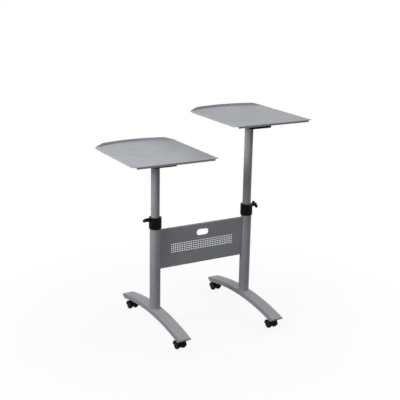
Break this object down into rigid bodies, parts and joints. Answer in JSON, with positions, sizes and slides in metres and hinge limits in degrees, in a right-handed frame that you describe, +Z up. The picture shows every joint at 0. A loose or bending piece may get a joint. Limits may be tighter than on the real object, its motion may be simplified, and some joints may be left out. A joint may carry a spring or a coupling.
{
  "type": "projector cart",
  "caption": "Rolling stand with telescopic posts, a flat sheet tray on each post, a perforated cross panel with a hand slot, arched feet and twin wheel casters",
  "frame": {"origin": "on the floor, midway between the two feet", "axes": "+Z up, +X from the left post to the right post, +Y towards the trays' raised lips"},
  "size_m": [0.89, 0.6, 0.9795],
  "materials": {
    "silver_paint": "silver grey powder coat, fine texture",
    "black_paint": "black powder coat",
    "black_plastic": "black moulded plastic, fine grain",
    "caster_plastic": "black moulded nylon",
    "zinc_steel": "zinc plated steel"
  },
  "bodies": {
    "frame": {"left_foot": "silver_paint", "left_lower_post": "silver_paint", "left_collar": "black_plastic", "right_foot": "silver_paint", "right_lower_post": "silver_paint", "right_collar": "black_plastic", "cross_panel": "silver_paint", "perforated_screen": "silver_paint", "front_left_caster_stem": "zinc_steel", "back_left_caster_stem": "zinc_steel", "front_right_caster_stem": "zinc_steel", "back_right_caster_stem": "zinc_steel"},
    "left_lift": {"left_mast": "silver_paint", "left_tray_bracket": "black_paint", "left_tray": "silver_paint"},
    "left_clamp": {"left_knob": "black_plastic", "left_knob_screw": "zinc_steel"},
    "right_lift": {"right_mast": "silver_paint", "right_tray_bracket": "black_paint", "right_tray": "silver_paint"},
    "right_clamp": {"right_knob": "black_plastic", "right_knob_screw": "zinc_steel"},
    "front_left_caster": {"front_left_caster_hood": "caster_plastic", "front_left_caster_axle": "zinc_steel"},
    "front_left_wheels": {"front_left_caster_wheels": "caster_plastic"},
    "back_left_caster": {"back_left_caster_hood": "caster_plastic", "back_left_caster_axle": "zinc_steel"},
    "back_left_wheels": {"back_left_caster_wheels": "caster_plastic"},
    "front_right_caster": {"front_right_caster_hood": "caster_plastic", "front_right_caster_axle": "zinc_steel"},
    "front_right_wheels": {"front_right_caster_wheels": "caster_plastic"},
    "back_right_caster": {"back_right_caster_hood": "caster_plastic", "back_right_caster_axle": "zinc_steel"},
    "back_right_wheels": {"back_right_caster_wheels": "caster_plastic"}
  },
  "joints": [
    {"name": "left_tray_height", "type": "slide", "parent": "frame", "child": "left_lift", "axis": [0, 0, 1], "range_m": [-0.183, 0.161]},
    {"name": "right_tray_height", "type": "slide", "parent": "frame", "child": "right_lift", "axis": [0, 0, 1], "range_m": [-0.313, 0.031]},
    {"name": "left_knob_turn", "type": "hinge", "parent": "frame", "child": "left_clamp", "pos_m": [-0.243, 0, 0.53054], "axis": [-1, 0, 0], "range_deg": [0, 270]},
    {"name": "right_knob_turn", "type": "hinge", "parent": "frame", "child": "right_clamp", "pos_m": [0.243, 0, 0.53054], "axis": [1, 0, 0], "range_deg": [0, 270]},
    {"name": "front_left_swivel", "type": "hinge", "parent": "frame", "child": "front_left_caster", "pos_m": [-0.243, -0.26, 0.04], "axis": [0, 0, 1], "continuous": true},
    {"name": "back_left_swivel", "type": "hinge", "parent": "frame", "child": "back_left_caster", "pos_m": [-0.243, 0.26, 0.04], "axis": [0, 0, 1], "continuous": true},
    {"name": "front_right_swivel", "type": "hinge", "parent": "frame", "child": "front_right_caster", "pos_m": [0.243, -0.26, 0.04], "axis": [0, 0, 1], "continuous": true},
    {"name": "back_right_swivel", "type": "hinge", "parent": "frame", "child": "back_right_caster", "pos_m": [0.243, 0.26, 0.04], "axis": [0, 0, 1], "continuous": true},
    {"name": "front_left_roll", "type": "hinge", "parent": "front_left_caster", "child": "front_left_wheels", "pos_m": [-0.243, -0.248, 0.019], "axis": [1, 0, 0], "continuous": true},
    {"name": "back_left_roll", "type": "hinge", "parent": "back_left_caster", "child": "back_left_wheels", "pos_m": [-0.243, 0.248, 0.019], "axis": [1, 0, 0], "continuous": true},
    {"name": "front_right_roll", "type": "hinge", "parent": "front_right_caster", "child": "front_right_wheels", "pos_m": [0.243, -0.248, 0.019], "axis": [1, 0, 0], "continuous": true},
    {"name": "back_right_roll", "type": "hinge", "parent": "back_right_caster", "child": "back_right_wheels", "pos_m": [0.243, 0.272, 0.019], "axis": [1, 0, 0], "continuous": true}
  ]
}
